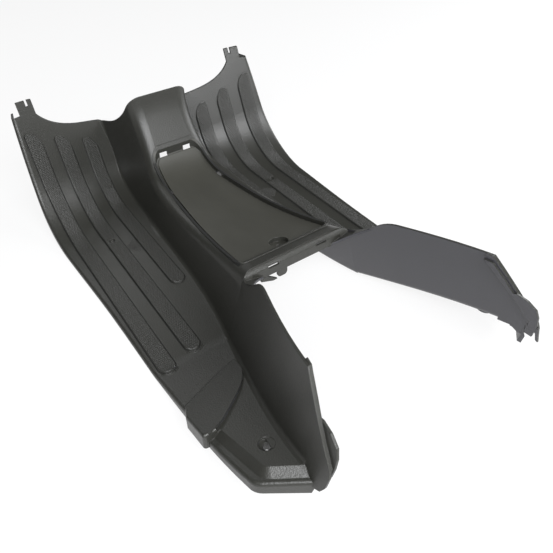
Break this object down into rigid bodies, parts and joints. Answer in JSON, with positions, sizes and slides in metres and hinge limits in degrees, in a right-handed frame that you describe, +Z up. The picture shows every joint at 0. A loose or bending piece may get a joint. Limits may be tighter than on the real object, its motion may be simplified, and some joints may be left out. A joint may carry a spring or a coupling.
{
  "type": "scooter floorboard",
  "caption": "Scooter floorboard moulding: two foot wells with tread strips, a raised centre tunnel with a sunk cover seat, and rear wing walls beside passenger ramps.",
  "frame": {"origin": "bottom centre of the part's box: middle of its length and width, at the lower edge of the skirt", "axes": "+X to the rider's right, +Y to the front of the scooter (the leg rests), +Z up"},
  "size_m": [0.4194, 0.668, 0.172],
  "materials": {
    "floorboard": "fine-grained satin black"
  },
  "bodies": {
    "root": {"floorboard": "floorboard"}
  },
  "joints": []
}
